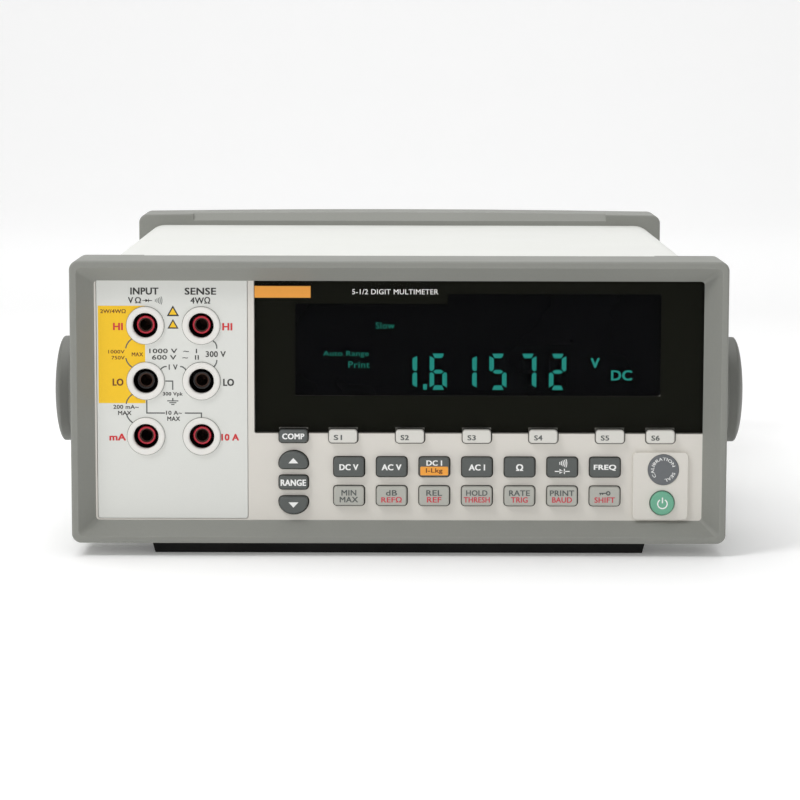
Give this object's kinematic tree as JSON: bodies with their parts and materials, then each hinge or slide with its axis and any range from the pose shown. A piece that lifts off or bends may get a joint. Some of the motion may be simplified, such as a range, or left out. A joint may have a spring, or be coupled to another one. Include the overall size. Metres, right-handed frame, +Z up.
{
  "type": "bench multimeter",
  "caption": "Half-width bench multimeter with rubber bumpers, swinging handle, safety input jacks, push keys and a dark display window.",
  "frame": {"origin": "middle of the footprint, on the surface the feet stand on", "axes": "+X to the right seen from the front, +Y from the front panel to the rear, +Z up"},
  "size_m": [0.2446, 0.297, 0.1018],
  "materials": {
    "case_paint": "fine satin paint",
    "bumper_rubber": "matt elastomer",
    "foot_rubber": "matt",
    "panel_plastic": "fine moulded texture",
    "terminal_plastic": "fine moulded texture",
    "collar_plastic": "satin",
    "window_acrylic": "polished smoked acrylic",
    "key_dark": "satin silicone",
    "key_light": "satin silicone",
    "key_white": "satin silicone",
    "button_green": "satin",
    "rod_plastic": "moulded nylon",
    "jack_black": "satin",
    "jack_red": "gloss",
    "contact_metal": "nickel-plated brass",
    "seal_grey": "matt",
    "handle_plastic": "moulded texture",
    "grip_rubber": "matt",
    "rear_metal": "fine satin paint",
    "screw_steel": "zinc-plated",
    "tray_metal": "zinc-plated sheet",
    "board_laminate": "solder mask",
    "tube_glass": "dark glass",
    "silicone": "matt",
    "ribbon_plastic": "flat cable",
    "fuse_body": "ceramic and end caps",
    "shield_tin": "tinned",
    "component_plastic": "moulded epoxy",
    "heatsink_metal": "extruded",
    "core_steel": "varnished laminations",
    "coil_tape": "yellow tape",
    "connector_metal": "tin-plated shell"
  },
  "bodies": {
    "housing": {"board_components": "component_plastic", "calibration_seal": "seal_grey", "case_sleeve": "case_paint", "chassis_tray": "tray_metal", "circuit_boards": "board_laminate", "display_tube": "tube_glass", "display_window": "window_acrylic", "feet": "foot_rubber", "front_bumper": "bumper_rubber", "front_panel": "panel_plastic", "handle_pivots": "jack_black", "input_fuses": "fuse_body", "jack_collars": "collar_plastic", "jack_contacts": "contact_metal", "jack_housings": "jack_black", "jack_sleeves_red": "jack_red", "keypad_membrane": "silicone", "mains_inlet": "jack_black", "measurement_shield": "shield_tin", "power_switch": "component_plastic", "rear_bezel": "panel_plastic", "rear_bumper": "bumper_rubber", "rear_panel": "rear_metal", "regulator_heatsink": "heatsink_metal", "ribbon_cable": "ribbon_plastic", "screws": "screw_steel", "serial_connector": "connector_metal", "terminal_plate": "terminal_plastic", "transformer_coil": "coil_tape", "transformer_core": "core_steel"},
    "handle": {"handle_frame": "handle_plastic", "handle_grip": "grip_rubber", "handle_hub_caps": "handle_plastic"},
    "power_button": {"power_button": "button_green", "power_push_rod": "rod_plastic"},
    "fuse_drawer": {"fuse_drawer": "jack_black"},
    "key_dc_volts": {"key_dc_volts": "key_dark"},
    "key_ac_volts": {"key_ac_volts": "key_dark"},
    "key_dc_current": {"key_dc_current": "key_dark"},
    "key_ac_current": {"key_ac_current": "key_dark"},
    "key_ohms": {"key_ohms": "key_dark"},
    "key_diode": {"key_diode": "key_dark"},
    "key_frequency": {"key_frequency": "key_dark"},
    "key_min_max": {"key_min_max": "key_light"},
    "key_db": {"key_db": "key_light"},
    "key_relative": {"key_relative": "key_light"},
    "key_hold": {"key_hold": "key_light"},
    "key_rate": {"key_rate": "key_light"},
    "key_print": {"key_print": "key_light"},
    "key_shift": {"key_shift": "key_light"},
    "softkey_1": {"softkey_1": "key_white"},
    "softkey_2": {"softkey_2": "key_white"},
    "softkey_3": {"softkey_3": "key_white"},
    "softkey_4": {"softkey_4": "key_white"},
    "softkey_5": {"softkey_5": "key_white"},
    "softkey_6": {"softkey_6": "key_white"},
    "key_comp": {"key_comp": "key_dark"},
    "key_range": {"key_range": "key_dark"},
    "key_up": {"key_up": "key_dark"},
    "key_down": {"key_down": "key_dark"}
  },
  "joints": [
    {"name": "handle_swing", "type": "hinge", "parent": "housing", "child": "handle", "pos_m": [0, -0.0945, 0.0516], "axis": [-1, 0, 0], "range_deg": [0, 295]},
    {"name": "power_press", "type": "slide", "parent": "housing", "child": "power_button", "axis": [0, 1, 0], "range_m": [0, 0.003], "stiffness_N_per_m": 400, "springref_m": -0.001},
    {"name": "key_dc_volts_press", "type": "slide", "parent": "housing", "child": "key_dc_volts", "axis": [0, 1, 0], "range_m": [0, 0.0012], "stiffness_N_per_m": 400, "springref_m": -0.001},
    {"name": "key_ac_volts_press", "type": "slide", "parent": "housing", "child": "key_ac_volts", "axis": [0, 1, 0], "range_m": [0, 0.0012], "stiffness_N_per_m": 400, "springref_m": -0.001},
    {"name": "key_dc_current_press", "type": "slide", "parent": "housing", "child": "key_dc_current", "axis": [0, 1, 0], "range_m": [0, 0.0012], "stiffness_N_per_m": 400, "springref_m": -0.001},
    {"name": "key_ac_current_press", "type": "slide", "parent": "housing", "child": "key_ac_current", "axis": [0, 1, 0], "range_m": [0, 0.0012], "stiffness_N_per_m": 400, "springref_m": -0.001},
    {"name": "key_ohms_press", "type": "slide", "parent": "housing", "child": "key_ohms", "axis": [0, 1, 0], "range_m": [0, 0.0012], "stiffness_N_per_m": 400, "springref_m": -0.001},
    {"name": "key_diode_press", "type": "slide", "parent": "housing", "child": "key_diode", "axis": [0, 1, 0], "range_m": [0, 0.0012], "stiffness_N_per_m": 400, "springref_m": -0.001},
    {"name": "key_frequency_press", "type": "slide", "parent": "housing", "child": "key_frequency", "axis": [0, 1, 0], "range_m": [0, 0.0012], "stiffness_N_per_m": 400, "springref_m": -0.001},
    {"name": "key_min_max_press", "type": "slide", "parent": "housing", "child": "key_min_max", "axis": [0, 1, 0], "range_m": [0, 0.0012], "stiffness_N_per_m": 400, "springref_m": -0.001},
    {"name": "key_db_press", "type": "slide", "parent": "housing", "child": "key_db", "axis": [0, 1, 0], "range_m": [0, 0.0012], "stiffness_N_per_m": 400, "springref_m": -0.001},
    {"name": "key_relative_press", "type": "slide", "parent": "housing", "child": "key_relative", "axis": [0, 1, 0], "range_m": [0, 0.0012], "stiffness_N_per_m": 400, "springref_m": -0.001},
    {"name": "key_hold_press", "type": "slide", "parent": "housing", "child": "key_hold", "axis": [0, 1, 0], "range_m": [0, 0.0012], "stiffness_N_per_m": 400, "springref_m": -0.001},
    {"name": "key_rate_press", "type": "slide", "parent": "housing", "child": "key_rate", "axis": [0, 1, 0], "range_m": [0, 0.0012], "stiffness_N_per_m": 400, "springref_m": -0.001},
    {"name": "key_print_press", "type": "slide", "parent": "housing", "child": "key_print", "axis": [0, 1, 0], "range_m": [0, 0.0012], "stiffness_N_per_m": 400, "springref_m": -0.001},
    {"name": "key_shift_press", "type": "slide", "parent": "housing", "child": "key_shift", "axis": [0, 1, 0], "range_m": [0, 0.0012], "stiffness_N_per_m": 400, "springref_m": -0.001},
    {"name": "softkey_1_press", "type": "slide", "parent": "housing", "child": "softkey_1", "axis": [0, 1, 0], "range_m": [0, 0.0012], "stiffness_N_per_m": 400, "springref_m": -0.001},
    {"name": "softkey_2_press", "type": "slide", "parent": "housing", "child": "softkey_2", "axis": [0, 1, 0], "range_m": [0, 0.0012], "stiffness_N_per_m": 400, "springref_m": -0.001},
    {"name": "softkey_3_press", "type": "slide", "parent": "housing", "child": "softkey_3", "axis": [0, 1, 0], "range_m": [0, 0.0012], "stiffness_N_per_m": 400, "springref_m": -0.001},
    {"name": "softkey_4_press", "type": "slide", "parent": "housing", "child": "softkey_4", "axis": [0, 1, 0], "range_m": [0, 0.0012], "stiffness_N_per_m": 400, "springref_m": -0.001},
    {"name": "softkey_5_press", "type": "slide", "parent": "housing", "child": "softkey_5", "axis": [0, 1, 0], "range_m": [0, 0.0012], "stiffness_N_per_m": 400, "springref_m": -0.001},
    {"name": "softkey_6_press", "type": "slide", "parent": "housing", "child": "softkey_6", "axis": [0, 1, 0], "range_m": [0, 0.0012], "stiffness_N_per_m": 400, "springref_m": -0.001},
    {"name": "key_comp_press", "type": "slide", "parent": "housing", "child": "key_comp", "axis": [0, 1, 0], "range_m": [0, 0.0012], "stiffness_N_per_m": 400, "springref_m": -0.001},
    {"name": "key_range_press", "type": "slide", "parent": "housing", "child": "key_range", "axis": [0, 1, 0], "range_m": [0, 0.0012], "stiffness_N_per_m": 400, "springref_m": -0.001},
    {"name": "key_up_press", "type": "slide", "parent": "housing", "child": "key_up", "axis": [0, 1, 0], "range_m": [0, 0.0012], "stiffness_N_per_m": 400, "springref_m": -0.001},
    {"name": "key_down_press", "type": "slide", "parent": "housing", "child": "key_down", "axis": [0, 1, 0], "range_m": [0, 0.0012], "stiffness_N_per_m": 400, "springref_m": -0.001},
    {"name": "fuse_drawer_slide", "type": "slide", "parent": "housing", "child": "fuse_drawer", "axis": [0, 1, 0], "range_m": [0, 0.024]}
  ]
}
